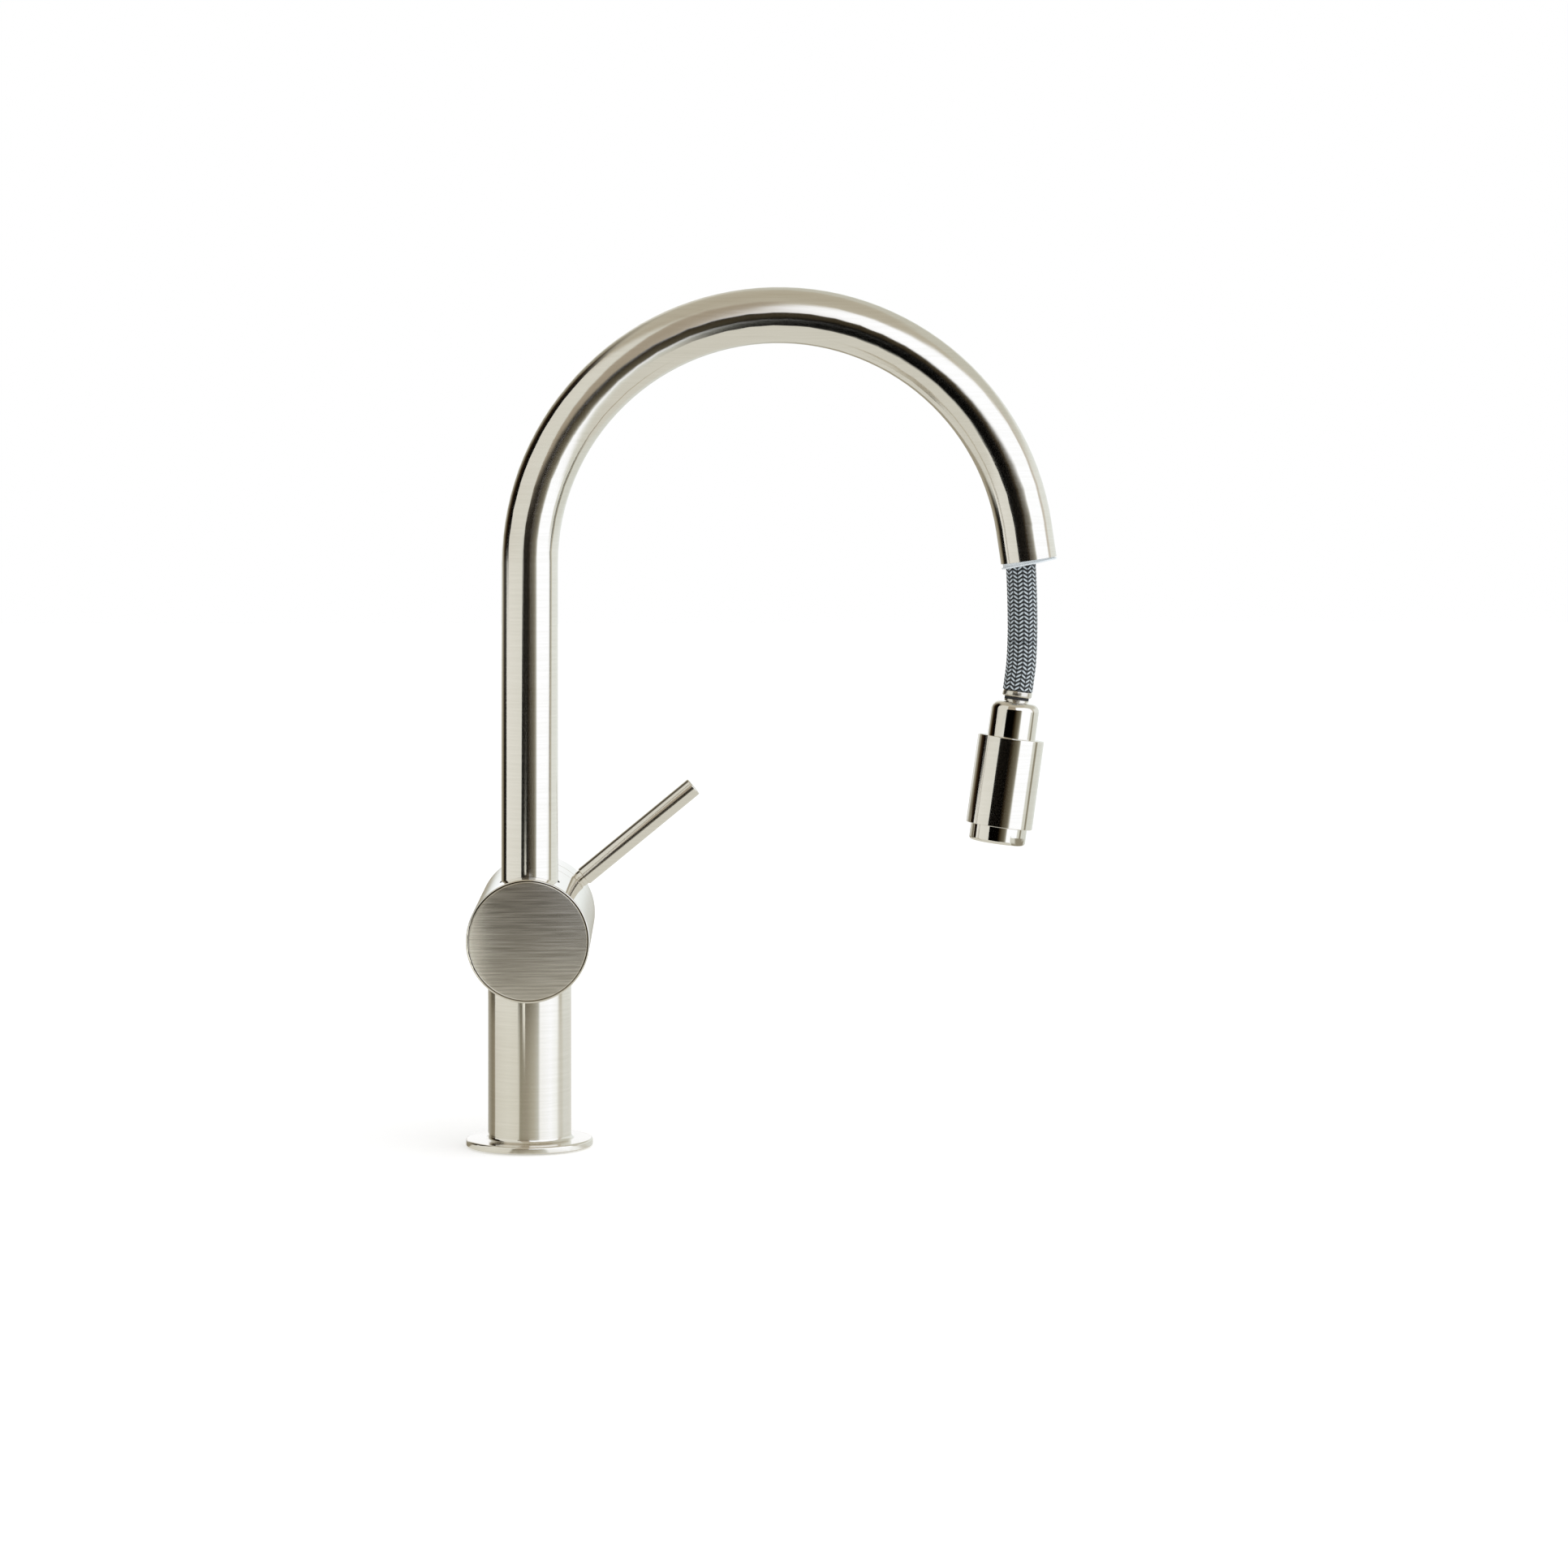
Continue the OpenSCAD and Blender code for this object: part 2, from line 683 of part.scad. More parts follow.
module supply_hose_end() {
  color(brass) translate([0, hose_shift, hose_end_z - hose_tail_len]) difference() {
    union() {
      cylinder(r = hose_r, h = hose_tail_len);
      translate([0, 0, 3]) cylinder(r = hose_r + 0.9, h = 5, $fn = 6);
    }
    translate([0, 0, -eps]) cylinder(r = liner_bore / 2, h = hose_tail_len - 2);
  }
}

module hose_braid() {
  color(textile) swept_tube(hang_route(), [0, 1, 0], hose_r, liner_d / 2 + 0.1);
}

module hose_liner() {
  color(plastic) swept_tube(hang_route(), [0, 1, 0], liner_d / 2, liner_bore / 2);
}

// The hanging hose ends on the ferrule, in line with the head
function on_head_axis(z) = [head_x + z * sin(head_lean), 0, head_z + z * cos(head_lean)];
function hang_route() =
  let (end = ferrule_z + ferrule_h)
  concat([for (p = hang_path) in_xz(p)], [on_head_axis(end + 4), on_head_axis(end + 0.05)]);

// ---------- hose end and spray head ----------

module ferrule() {
  color(satin) on_head() rotate_extrude() polygon(concat(
    [[nipple_r, ferrule_z]],
    arc(ferrule_r - 0.9, ferrule_z + 0.9, 0.9, -90, 0, 4),
    arc(ferrule_r - 0.7, ferrule_z + ferrule_h - 0.7, 0.7, 0, 90, 4),
    [[nipple_r, ferrule_z + ferrule_h]]
  ));
}

module hose_nipple() {
  color(brass) on_head() difference() {
    union() {
      rod(nipple_r - 0.02, nipple_z, ferrule_z + ferrule_h);
      rod(nipple_r + 0.7, nipple_collar_z, nipple_collar_z + nipple_collar_h);
    }
    rod(liner_bore / 2, nipple_z - eps, ferrule_z + ferrule_h + eps);
    for (z = [nipple_z + 1.4, nipple_z + 4.4]) ring(nipple_r + 1, nipple_r - 0.8, z, z + 1.6);
    ring(nipple_r + 1, nipple_r - 0.58, clip_seat - 0.05, clip_seat + 1.05);
  }
}

// Two seals in the neck and the dust ring over its mouth
module nipple_seals() {
  color(rubber) on_head() {
    for (z = [nipple_z + 2.2, nipple_z + 5.2]) o_ring(nipple_r - 0.1, 0.6, z);
    ring(nipple_r + 0.6, nipple_r, nipple_collar_z + nipple_collar_h + 0.03, ferrule_z - 0.03);
  }
}

module head_neck() {
  color(satin) on_head() difference() {
    union() {
      rotate_extrude() polygon(concat(
        [[0, 0], [neck_r, 0]],
        arc(neck_r - neck_round, neck_len - neck_round, neck_round, 0, 90, 8),
        [[0, neck_len]]
      ));
      rod(duct_r, duct_end, eps);
    }
    rod(nipple_r + run_gap, duct_step - eps, neck_len + eps);
    rod(nipple_r + 0.55, nipple_z - 1, nipple_z + 7);
    rod(valve_r, duct_end - eps, duct_step);
    rod(nipple_r + 1.05, clip_seat - 0.05, clip_seat + 1.05);
  }
}

// Snap ring that holds the nipple in the neck and lets it turn
module neck_clip() {
  color(satin) on_head() translate([0, 0, clip_seat])
    rotate_extrude(angle = 320) translate([nipple_r - 0.5, 0]) square([1.4, 1]);
}

// Nut on the duct that holds the shell against the neck
module neck_nut() {
  color(brass) on_head() difference() {
    ring(shell_bore - 0.6, duct_r + 0.02, -shell_roof - 2.8, -shell_roof);
    for (a = [0:90:270]) rotate([0, 0, a])
      translate([shell_bore - 1.8, -1.2, -shell_roof - 4]) cube([3, 2.4, 5]);
  }
}

module head_shell() {
  color(satin) on_head() rotate_extrude() polygon(concat(
    [[duct_r + 0.1, 0]],
    arc(shell_r - 0.4, -0.4, 0.4, 90, 0, 3),
    arc(shell_r - 0.3, -shell_len + 0.3, 0.3, 0, -90, 3),
    [[shell_bore, -shell_len], [shell_bore, -shell_roof], [duct_r + 0.1, -shell_roof]]
  ));
}

module check_valve() {
  color(dark_plastic) on_head() difference() {
    union() {
      rod(valve_r - 0.05, duct_end + 0.6, duct_step - 3);
      rod(3.4, duct_step - 3 - eps, duct_step - 0.4);
    }
    rod(2.4, duct_end, duct_step - 1.2);
    for (a = [0:90:270]) rotate([0, 0, a])
      translate([2, -0.8, duct_step - 2.8]) cube([3, 1.6, 1.2]);
  }
}

module aerator_seal() {
  color(rubber) on_head() ring(ring_thread - 0.2, valve_r - 1, ring_top, duct_end);
}

module aerator_housing() {
  inner = aerator_r - 1.7;
  color(satin) on_head() difference() {
    union() {
      rotate_extrude() polygon(concat(
        [[0, -shell_len]],
        [[aerator_r, -shell_len]],
        arc(aerator_r - 1.4, -shell_len - aerator_len + 1.4, 1.4, 0, -90, 5),
        [[0, -shell_len - aerator_len]]
      ));
      rod(ring_thread, -shell_len, ring_top);
    }
    rod(inner, -shell_len - aerator_len - eps, ring_top - 1.6);
    rod(inner - 1.4, ring_top - 2, ring_top + eps);
    // two wrench flats on the lower edge
    for (a = [0, 180]) rotate([0, 0, a + wrench_angle])
      translate([aerator_r - wrench_depth, -6, -shell_len - aerator_len - 1])
        cube([5, 12, wrench_h + 1]);
  }
}

// Disc with rings of small jets
module jet_former() {
  top = ring_top - 1.7;
  face = -shell_len - aerator_len + 1.2;
  color(plastic) on_head() difference() {
    rod(aerator_r - 1.8, face, top);
    rod(aerator_r - 4.2, face + 2, top + eps);
    for (j = [[0, 1], [2.6, 6], [5.2, 12]]) for (k = [0:j[1] - 1])
      rotate([0, 0, 360 * k / j[1]]) translate([j[0], 0, 0]) rod(0.75, face - eps, face + 2 + eps);
  }
}

column();
deck_seal();
valve_housing();
front_cover();
valve_core();
bonnet_ring();
cartridge_nut();
cartridge_body();
cartridge_seal();
port_disc();
mixing_disc();
disc_carrier();
turret();
stem_pin();
stem();
handle_cap();
lever_pin();
lever_collar();
grub_screw();
screw_plug();
spout_tube();
spout_clip();
mouth_ring();
riser_hose();
lower_bush();
upper_bush();
spout_seals();
supply_hose_end();
base_hose();
hose_braid();
hose_liner();
ferrule();
hose_nipple();
nipple_seals();
head_neck();
neck_nut();
head_shell();
neck_clip();
check_valve();
aerator_seal();
aerator_housing();
jet_former();
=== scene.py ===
import json
import math

import bpy
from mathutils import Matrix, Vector


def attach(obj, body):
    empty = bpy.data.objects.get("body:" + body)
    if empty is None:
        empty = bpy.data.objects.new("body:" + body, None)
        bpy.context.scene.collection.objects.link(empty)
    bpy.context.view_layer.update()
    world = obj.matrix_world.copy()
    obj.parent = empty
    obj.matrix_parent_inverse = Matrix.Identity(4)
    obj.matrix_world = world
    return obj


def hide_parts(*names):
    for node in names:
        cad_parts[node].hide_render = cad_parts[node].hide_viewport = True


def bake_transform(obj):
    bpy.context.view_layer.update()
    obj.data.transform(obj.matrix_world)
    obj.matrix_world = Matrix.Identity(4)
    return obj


# Kitchen faucet with a pull-down spray: finishes, braided hose, studio and camera
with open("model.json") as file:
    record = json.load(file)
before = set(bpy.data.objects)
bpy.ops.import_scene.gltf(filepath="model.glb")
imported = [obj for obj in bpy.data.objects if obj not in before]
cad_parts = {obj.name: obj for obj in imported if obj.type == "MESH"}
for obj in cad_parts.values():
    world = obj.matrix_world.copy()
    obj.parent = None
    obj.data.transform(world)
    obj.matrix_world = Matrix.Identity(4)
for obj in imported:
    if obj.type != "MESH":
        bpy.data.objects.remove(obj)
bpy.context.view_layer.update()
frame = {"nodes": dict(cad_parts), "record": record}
nodes = frame["nodes"]
print("frame loaded:", len(nodes), "nodes")


camera = {
    "place": (0.0559, -1.6025, 0.261),
    "turn": -1.8,             # degrees about the upright
    "lens": 87.95,
    "sensor": 36,
    "shiftY": -0.1687,
    "clip": (0.05, 60),
}


def makeCamera():
    data = bpy.data.cameras.new("frontCamera")
    data.lens = camera["lens"]
    data.sensor_width = camera["sensor"]
    data.shift_y = camera["shiftY"]
    data.clip_start, data.clip_end = camera["clip"]
    cam = bpy.data.objects.new("frontCamera", data)
    cam.location = camera["place"]
    cam.rotation_euler = (math.radians(90), 0, math.radians(camera["turn"]))
    bpy.context.scene.collection.objects.link(cam)
    bpy.context.scene.camera = cam
    bpy.context.scene.view_settings.view_transform = "Standard"


makeCamera()


def linear(colour):
    # 0-255 screen colour to scene values
    out = []
    for v in colour:
        v = v / 255
        out.append(v / 12.92 if v <= 0.04045 else ((v + 0.055) / 1.055) ** 2.4)
    return out


def newMaterial(name):
    mat = bpy.data.materials.new(name)
    mat.use_nodes = True
    return mat, mat.node_tree, mat.node_tree.nodes["Principled BSDF"]


def put(tree, kind, **settings):
    node = tree.nodes.new(kind)
    for key, value in settings.items():
        setattr(node, key, value)
    return node


def feed(tree, socket, value):
    # a fixed number or colour is set on the socket itself, an output is linked to it
    if isinstance(value, bpy.types.NodeSocket):
        tree.links.new(value, socket)
    elif isinstance(value, (int, float)):
        socket.default_value = value
    else:
        socket.default_value = (*value, 1)


def sums(tree, operation, a, b=None, c=None):
    node = put(tree, "ShaderNodeMath", operation=operation)
    for socket, value in zip(node.inputs, (a, b, c)):
        if value is not None:
            feed(tree, socket, value)
    return node.outputs[0]


def ramp(tree, factor, stops):
    node = put(tree, "ShaderNodeValToRGB")
    elements = node.color_ramp.elements
    while len(elements) < len(stops):
        elements.new(1)
    for element, (place, colour) in zip(elements, stops):
        element.position = place
        element.color = (*colour, 1)
    tree.links.new(factor, node.inputs[0])
    return node.outputs[0]


def mapped(tree, value, given=(0, 1), wanted=(0, 1), curve="LINEAR"):
    node = put(tree, "ShaderNodeMapRange", interpolation_type=curve)
    node.inputs["From Min"].default_value, node.inputs["From Max"].default_value = given
    node.inputs["To Min"].default_value, node.inputs["To Max"].default_value = wanted
    tree.links.new(value, node.inputs[0])
    return node.outputs[0]


def smoothStep(tree, value, low, high):
    return mapped(tree, value, (low, high), curve="SMOOTHSTEP")


def objectPlace(tree):
    coords = put(tree, "ShaderNodeTexCoord")
    parts = put(tree, "ShaderNodeSeparateXYZ")
    tree.links.new(coords.outputs["Object"], parts.inputs[0])
    return parts.outputs


def grain(tree, scale, detail=3.0, stretch=(1, 1, 1)):
    coords = put(tree, "ShaderNodeTexCoord")
    place = put(tree, "ShaderNodeMapping")
    place.inputs["Scale"].default_value = stretch
    noise = put(tree, "ShaderNodeTexNoise")
    noise.inputs["Scale"].default_value = scale
    noise.inputs["Detail"].default_value = detail
    tree.links.new(coords.outputs["Object"], place.inputs[0])
    tree.links.new(place.outputs[0], noise.inputs["Vector"])
    return noise.outputs["Fac"]


def bump(tree, shader, height, strength, depth):
    node = put(tree, "ShaderNodeBump")
    node.inputs["Strength"].default_value = strength
    node.inputs["Distance"].default_value = depth
    tree.links.new(height, node.inputs["Height"])
    tree.links.new(node.outputs[0], shader.inputs["Normal"])


def pores(tree, shader, scale, strength, depth):
    bump(tree, shader, grain(tree, scale, 2), strength, depth)


spotSpan = (0.3, 0.7)         # where a noise reaches its dark and its light tone


def tones(tree, shader, spots, low, high, span=spotSpan):
    tree.links.new(ramp(tree, spots, list(zip(span, (low, high)))), shader.inputs["Base Color"])


def metalTone(tree, shader, spots, low, high):
    shader.inputs["Metallic"].default_value = 1
    tones(tree, shader, spots, low, high)


def gloss(tree, shader, spots, roughness):
    tree.links.new(mapped(tree, spots, wanted=roughness), shader.inputs["Roughness"])


nickel = {
    "low": (0.80, 0.765, 0.70),
    "high": (0.845, 0.81, 0.75),
    "roughness": (0.035, 0.075),
    "cloudScale": 26,
    "grainScale": 420,
    "pores": (900, 0.010, 0.0001),     # scale, strength and depth
}


def polishedNickel():
    mat, tree, shader = newMaterial("polishedNickel")
    metalTone(tree, shader, grain(tree, nickel["cloudScale"]), nickel["low"], nickel["high"])
    gloss(tree, shader, grain(tree, nickel["grainScale"]), nickel["roughness"])
    pores(tree, shader, *nickel["pores"])
    return mat


satin = {
    "roughness": (0.105, 0.14),
    "along": 0.86,            # the reflections blur along the piece, across its fine grooves
    "lineScale": (50, 50, 1500),
    "pores": (700, 0.012, 0.0001),
    "headFiner": 0.7,         # the spray head's shell is polished finer
}
arch = {
    "centre": Vector((0.104, 0, 0.2426)),
    "hoseRadius": 0.101,      # the hose rests towards the inner side of the bend
    "mouthAngles": (22, 18),
    "hiddenAngles": range(15, 181, 11),
}
leverRise = math.radians(39.3)
headLean = math.radians(7.85)


def fixedDirection(tree, direction):
    node = put(tree, "ShaderNodeCombineXYZ")
    for socket, value in zip(node.inputs, direction):
        socket.default_value = value
    return node.outputs[0]


def alongArch(tree):
    # upright below the arch, then round its centre
    x, y, z = objectPlace(tree)
    across = sums(tree, "SUBTRACT", x, arch["centre"].x)
    above = sums(tree, "SUBTRACT", z, arch["centre"].z)
    onBend = sums(tree, "GREATER_THAN", above, 0)
    node = put(tree, "ShaderNodeCombineXYZ")
    tree.links.new(sums(tree, "MULTIPLY", sums(tree, "MAXIMUM", above, 0), -1), node.inputs[0])
    tree.links.new(sums(tree, "ADD", sums(tree, "MULTIPLY", onBend, across),
                        sums(tree, "SUBTRACT", 1, onBend)), node.inputs[2])
    return node.outputs[0]


def satinNickel(name, lengthwise, finer=1.0):
    # lengthwise: the piece's long direction in its own space, or None on the arch
    mat, tree, shader = newMaterial(name)
    lines = grain(tree, 1, 3, satin["lineScale"])
    metalTone(tree, shader, lines, nickel["low"], nickel["high"])
    gloss(tree, shader, lines, [value * finer for value in satin["roughness"]])
    shader.inputs["Anisotropic"].default_value = satin["along"]
    direction = fixedDirection(tree, lengthwise) if lengthwise else alongArch(tree)
    turned = put(tree, "ShaderNodeVectorTransform", vector_type="VECTOR",
                 convert_from="OBJECT", convert_to="WORLD")
    tree.links.new(direction, turned.inputs[0])
    tree.links.new(turned.outputs[0], shader.inputs["Tangent"])
    pores(tree, shader, *satin["pores"])
    return mat


brushing = {
    "dark": (0.62, 0.585, 0.52),
    "light": (0.87, 0.835, 0.77),
    "roughness": (0.18, 0.27),
    "lineScale": (45, 45, 1300),
    "across": 0.85,           # how much more the brushing blurs across its lines
    "relief": (0.11, 0.0001),     # strength and depth
}


def brushedNickel():
    mat, tree, shader = newMaterial("brushedNickel")
    lines = grain(tree, 1, 4, brushing["lineScale"])
    metalTone(tree, shader, lines, brushing["dark"], brushing["light"])
    gloss(tree, shader, lines, brushing["roughness"])
    tree.links.new(fixedDirection(tree, (0, 0, 1)), shader.inputs["Tangent"])
    shader.inputs["Anisotropic"].default_value = brushing["across"]
    bump(tree, shader, lines, *brushing["relief"])
    return mat


# dark and light spots, roughness, and the scale of the spots
plainMetals = {
    "castBrass": ((0.62, 0.45, 0.20), (0.76, 0.60, 0.32), (0.26, 0.42), 160),
    "turnedSteel": ((0.48, 0.48, 0.49), (0.66, 0.66, 0.67), (0.20, 0.34), 260),
}
plainPores = {"perSpot": 5, "relief": (0.12, 0.0002)}


def plainMetal(name):
    low, high, roughness, scale = plainMetals[name]
    mat, tree, shader = newMaterial(name)
    spots = grain(tree, scale)
    metalTone(tree, shader, spots, low, high)
    gloss(tree, shader, spots, roughness)
    pores(tree, shader, scale * plainPores["perSpot"], *plainPores["relief"])
    return mat


# dark and light clouds, roughness, and the scale of the pores
moulded = {
    "blackRubber": ((0.018, 0.018, 0.020), (0.040, 0.040, 0.043), 0.62, 700),
    "darkPlastic": ((0.030, 0.033, 0.040), (0.055, 0.060, 0.068), 0.42, 900),
    "whiteAcetal": ((0.70, 0.76, 0.80), (0.80, 0.85, 0.88), 0.34, 800),
    "hoseTube": ((0.48, 0.52, 0.55), (0.60, 0.63, 0.66), 0.40, 500),
    "alumina": ((0.74, 0.72, 0.66), (0.84, 0.83, 0.78), 0.22, 1500),
}
mouldedSkin = {"cloudScale": 60, "span": (0.35, 0.65), "relief": (0.10, 0.0002)}


def mouldedFinish(name):
    low, high, roughness, scale = moulded[name]
    mat, tree, shader = newMaterial(name)
    shader.inputs["Roughness"].default_value = roughness
    tones(tree, shader, grain(tree, mouldedSkin["cloudScale"]), low, high, mouldedSkin["span"])
    pores(tree, shader, scale, *mouldedSkin["relief"])
    return mat


hose = {
    "radius": 0.0062,
    "sides": 64,
    "columns": 18,            # slanted columns round the hose, an even number
    "rowPitch": 0.00174,
    "slope": 0.85,
    "relief": 0.00022,
    "crown": 0.6,             # how round a yarn's top is
    "smoothAngle": 60,
    # the yarn's tones: painted shade towards a yarn's edges, a painted highlight on its crown
    "yarnShadeToHighlight": ((0.24, 0.28, 0.31), (0.74, 0.83, 0.88)),
    # near black painted shade in the gaps between the yarns
    "gap": (0.004, 0.005, 0.007),
    "heights": (0.56, 0.70, 0.96),     # where the painted gap shade ends, and where the yarn's painted shade and painted highlight reach full strength
    "edgePower": 0.2,         # how square a column is across
    "fibreScale": 2600,
    "fibreDark": 0.45,
    "fibreShare": 0.45,
    "roughness": 0.45,
    "sheen": 0.15,
    "bump": (0.6, 0.0004),    # strength and depth
    "pulled": 0.35,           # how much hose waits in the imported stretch
    "step": 0.0004,
    "packedStep": 0.00006,
    "hiddenStep": 0.0016,
    "overlap": 0.001,
}


# the blue-grey braid, with painted shade in its gaps and a painted highlight on each yarn's crown
def braidWithPaintedShade():
    mat, tree, shader = newMaterial("blueGreyBraidPaintedShade")
    uv = put(tree, "ShaderNodeUVMap", uv_map="braid")
    parts = put(tree, "ShaderNodeSeparateXYZ")
    tree.links.new(uv.outputs[0], parts.inputs[0])
    around, along = parts.outputs[0], parts.outputs[1]
    column = sums(tree, "MULTIPLY", around, hose["columns"])
    inColumn = sums(tree, "FRACT", column)
    side = sums(tree, "MULTIPLY", sums(tree, "FRACT", sums(tree, "MULTIPLY", column, 0.5)), 2)
    # every second column leans the other way
    mirrored = sums(tree, "GREATER_THAN", side, 1)
    flipped = sums(tree, "SUBTRACT", 1, inColumn)
    across = sums(tree, "ADD", sums(tree, "MULTIPLY", mirrored, flipped),
                  sums(tree, "MULTIPLY", sums(tree, "SUBTRACT", 1, mirrored), inColumn))
    row = sums(tree, "ADD", along, sums(tree, "MULTIPLY", across, hose["slope"]))
    inRow = sums(tree, "FRACT", row)
    ridge = sums(tree, "SINE", sums(tree, "MULTIPLY", inRow, math.pi))
    edge = sums(tree, "SINE", sums(tree, "MULTIPLY", inColumn, math.pi))
    height = sums(tree, "MULTIPLY", ridge, sums(tree, "POWER", edge, hose["edgePower"]))
    dark, light = hose["yarnShadeToHighlight"]
    gapEnd, yarnLow, yarnHigh = hose["heights"]
    # the colour follows the yarn's height: near black painted shade in the gaps between yarns, darker
    # painted shade towards a yarn's edges, and a painted highlight on its crown
    colour = ramp(tree, height, [(0, hose["gap"]), (gapEnd, hose["gap"]),
                                 (yarnLow, dark), (yarnHigh, light)])
    fibre = put(tree, "ShaderNodeMix", data_type="RGBA", blend_type="MULTIPLY")
    fibre.inputs["Factor"].default_value = hose["fibreShare"]
    tree.links.new(colour, fibre.inputs[6])
    fibres = list(zip(spotSpan, ((hose["fibreDark"],) * 3, (1, 1, 1))))
    tree.links.new(ramp(tree, grain(tree, hose["fibreScale"], 2), fibres), fibre.inputs[7])
    tree.links.new(fibre.outputs[2], shader.inputs["Base Color"])
    shader.inputs["Roughness"].default_value = hose["roughness"]
    shader.inputs["Sheen Weight"].default_value = hose["sheen"]
    bump(tree, shader, height, *hose["bump"])
    return mat


finishes = {
    "nickel": polishedNickel(),
    "brushed_nickel": brushedNickel(),
    "brass": plainMetal("castBrass"),
    "steel": plainMetal("turnedSteel"),
    "rubber": mouldedFinish("blackRubber"),
    "dark_plastic": mouldedFinish("darkPlastic"),
    "white_plastic": mouldedFinish("whiteAcetal"),
    "hose_tube": mouldedFinish("hoseTube"),
    "ceramic": mouldedFinish("alumina"),
    "hose_braid": braidWithPaintedShade(),
}
# pieces whose fine grooves run in their own direction
satinNodes = {
    "spout_tube": satinNickel("archNickel", None),
    "column": satinNickel("uprightNickel", (0, 0, 1)),
    "head_shell": satinNickel("headNickel", (math.sin(headLean), 0, math.cos(headLean)),
                              satin["headFiner"]),
    "lever_pin": satinNickel("leverNickel", (math.cos(leverRise), 0, math.sin(leverRise))),
}
print("finishes made:", len(finishes) + len(satinNodes))


def smoothLine(points, step):
    # Catmull-Rom through the points, cut to even steps
    cuts = 24                 # pieces of the curve between two points
    shortest = 0.3            # share of a step that the last one may have
    fine = []
    padded = [2 * points[0] - points[1]] + points + [2 * points[-1] - points[-2]]
    for i in range(1, len(padded) - 2):
        p, q, r, s = padded[i - 1:i + 3]
        for k in range(cuts):
            t = k / cuts
            fine.append(0.5 * (2 * q + (r - p) * t + (2 * p - 5 * q + 4 * r - s) * t * t
                               + (3 * q - p - 3 * r + s) * t ** 3))
    fine.append(points[-1])
    out, left = [fine[0]], step
    for a, b in zip(fine, fine[1:]):
        span = (b - a).length
        while span >= left:
            a = a + (b - a) * (left / span)
            out.append(a)
            span -= left
            left = step
        left -= span
    if (out[-1] - fine[-1]).length > step * shortest:
        out.append(fine[-1])
    return out


def braidLift(around, row):
    # the yarn's height over the hose at a share of the way round and a row
    column = around * hose["columns"]
    inColumn = column - math.floor(column)
    across = 1 - inColumn if int(column) % 2 else inColumn
    inRow = (row + across * hose["slope"]) % 1
    return hose["relief"] * (math.sin(math.pi * inRow) ** hose["crown"] - 0.5)


def braidedHose(name, line, lengths, normal):
    # line: centre points; lengths: the yarn length at each point; normal: across the route's plane
    sides = hose["sides"]
    rows = [length / hose["rowPitch"] for length in lengths]
    verts, faces, uvs = [], [], []
    for i, p in enumerate(line):
        ahead = (line[min(i + 1, len(line) - 1)] - line[max(i - 1, 0)]).normalized()
        other = ahead.cross(normal).normalized()
        for k in range(sides):
            radius = hose["radius"] + braidLift(k / sides, rows[i])
            angle = 2 * math.pi * k / sides
            verts.append(p + radius * (math.cos(angle) * normal + math.sin(angle) * other))
    for i in range(len(line) - 1):
        for k in range(sides):
            j = (k + 1) % sides
            faces.append((i * sides + k, (i + 1) * sides + k, (i + 1) * sides + j, i * sides + j))
            u0, u1 = k / sides, (k + 1) / sides
            uvs += [(u0, rows[i]), (u0, rows[i + 1]), (u1, rows[i + 1]), (u1, rows[i])]
    # both ends are closed
    last = (len(line) - 1) * sides
    faces.append(tuple(range(sides)))
    faces.append(tuple(last + k for k in reversed(range(sides))))
    uvs += [(0, 0)] * (2 * sides)
    mesh = bpy.data.meshes.new(name)
    mesh.from_pydata([tuple(v) for v in verts], [], faces)
    layer = mesh.uv_layers.new(name="braid")
    for loop, uv in zip(layer.data, uvs):
        loop.uv = uv
    piece = bpy.data.objects.new(name, mesh)
    bpy.context.scene.collection.objects.link(piece)
    bpy.ops.object.select_all(action="DESELECT")
    piece.select_set(True)
    bpy.context.view_layer.objects.active = piece
    bpy.ops.object.mode_set(mode="EDIT")
    bpy.ops.mesh.select_all(action="SELECT")
    bpy.ops.mesh.normals_make_consistent(inside=False)
    bpy.ops.object.mode_set(mode="OBJECT")
    bpy.ops.object.shade_smooth_by_angle(angle=math.radians(hose["smoothAngle"]))
    mesh.materials.append(finishes["hose_braid"])
    return piece


def onArch(angle):
    a = math.radians(angle)
    return arch["centre"] + arch["hoseRadius"] * Vector((math.cos(a), 0, math.sin(a)))


# the hanging route, from inside the mouth down to the ferrule
hanging = [Vector((x / 1000, 0, z / 1000)) for x, z in (
    (201.6, 268.5), (202, 267), (203.4, 261), (204.7, 253), (205.5, 244), (206, 234),
    (206.3, 223), (206.3, 212), (205.8, 201), (204.844, 193.227), (204.304, 189.315))]
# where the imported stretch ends, where the bend begins, and the ferrule's end
mouthJoin = (0.2020, 0, 0.267)
bendJoin = (0.2063, 0, 0.210)
acrossY = Vector((0, 1, 0))
acrossX = Vector((1, 0, 0))


def hangingHose():
    route = smoothLine([onArch(a) for a in arch["mouthAngles"]] + hanging, hose["step"])
    mouthZ, bendZ, overlap = mouthJoin[2], bendJoin[2], hose["overlap"]
    packed = [p for p in route if p.z > mouthZ]
    lower = [p for p in route if bendZ - overlap < p.z <= mouthZ + overlap]
    foot = [p for p in route if p.z <= bendZ + overlap / 2]
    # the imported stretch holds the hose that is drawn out
    stretch = 1 + hose["pulled"] / (packed[0].z - mouthZ)
    fine = smoothLine(packed, hose["packedStep"])
    drawn = braidedHose("hoseDrawn", fine, [(mouthZ - p.z) * stretch for p in fine], acrossY)
    hung = braidedHose("hoseHanging", lower, [mouthZ - p.z for p in lower], acrossY)
    end = braidedHose("hoseFoot", foot, [mouthZ - p.z for p in foot], acrossY)
    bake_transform(drawn)
    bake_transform(hung)
    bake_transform(end)
    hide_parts("hose_braid", "hose_liner")


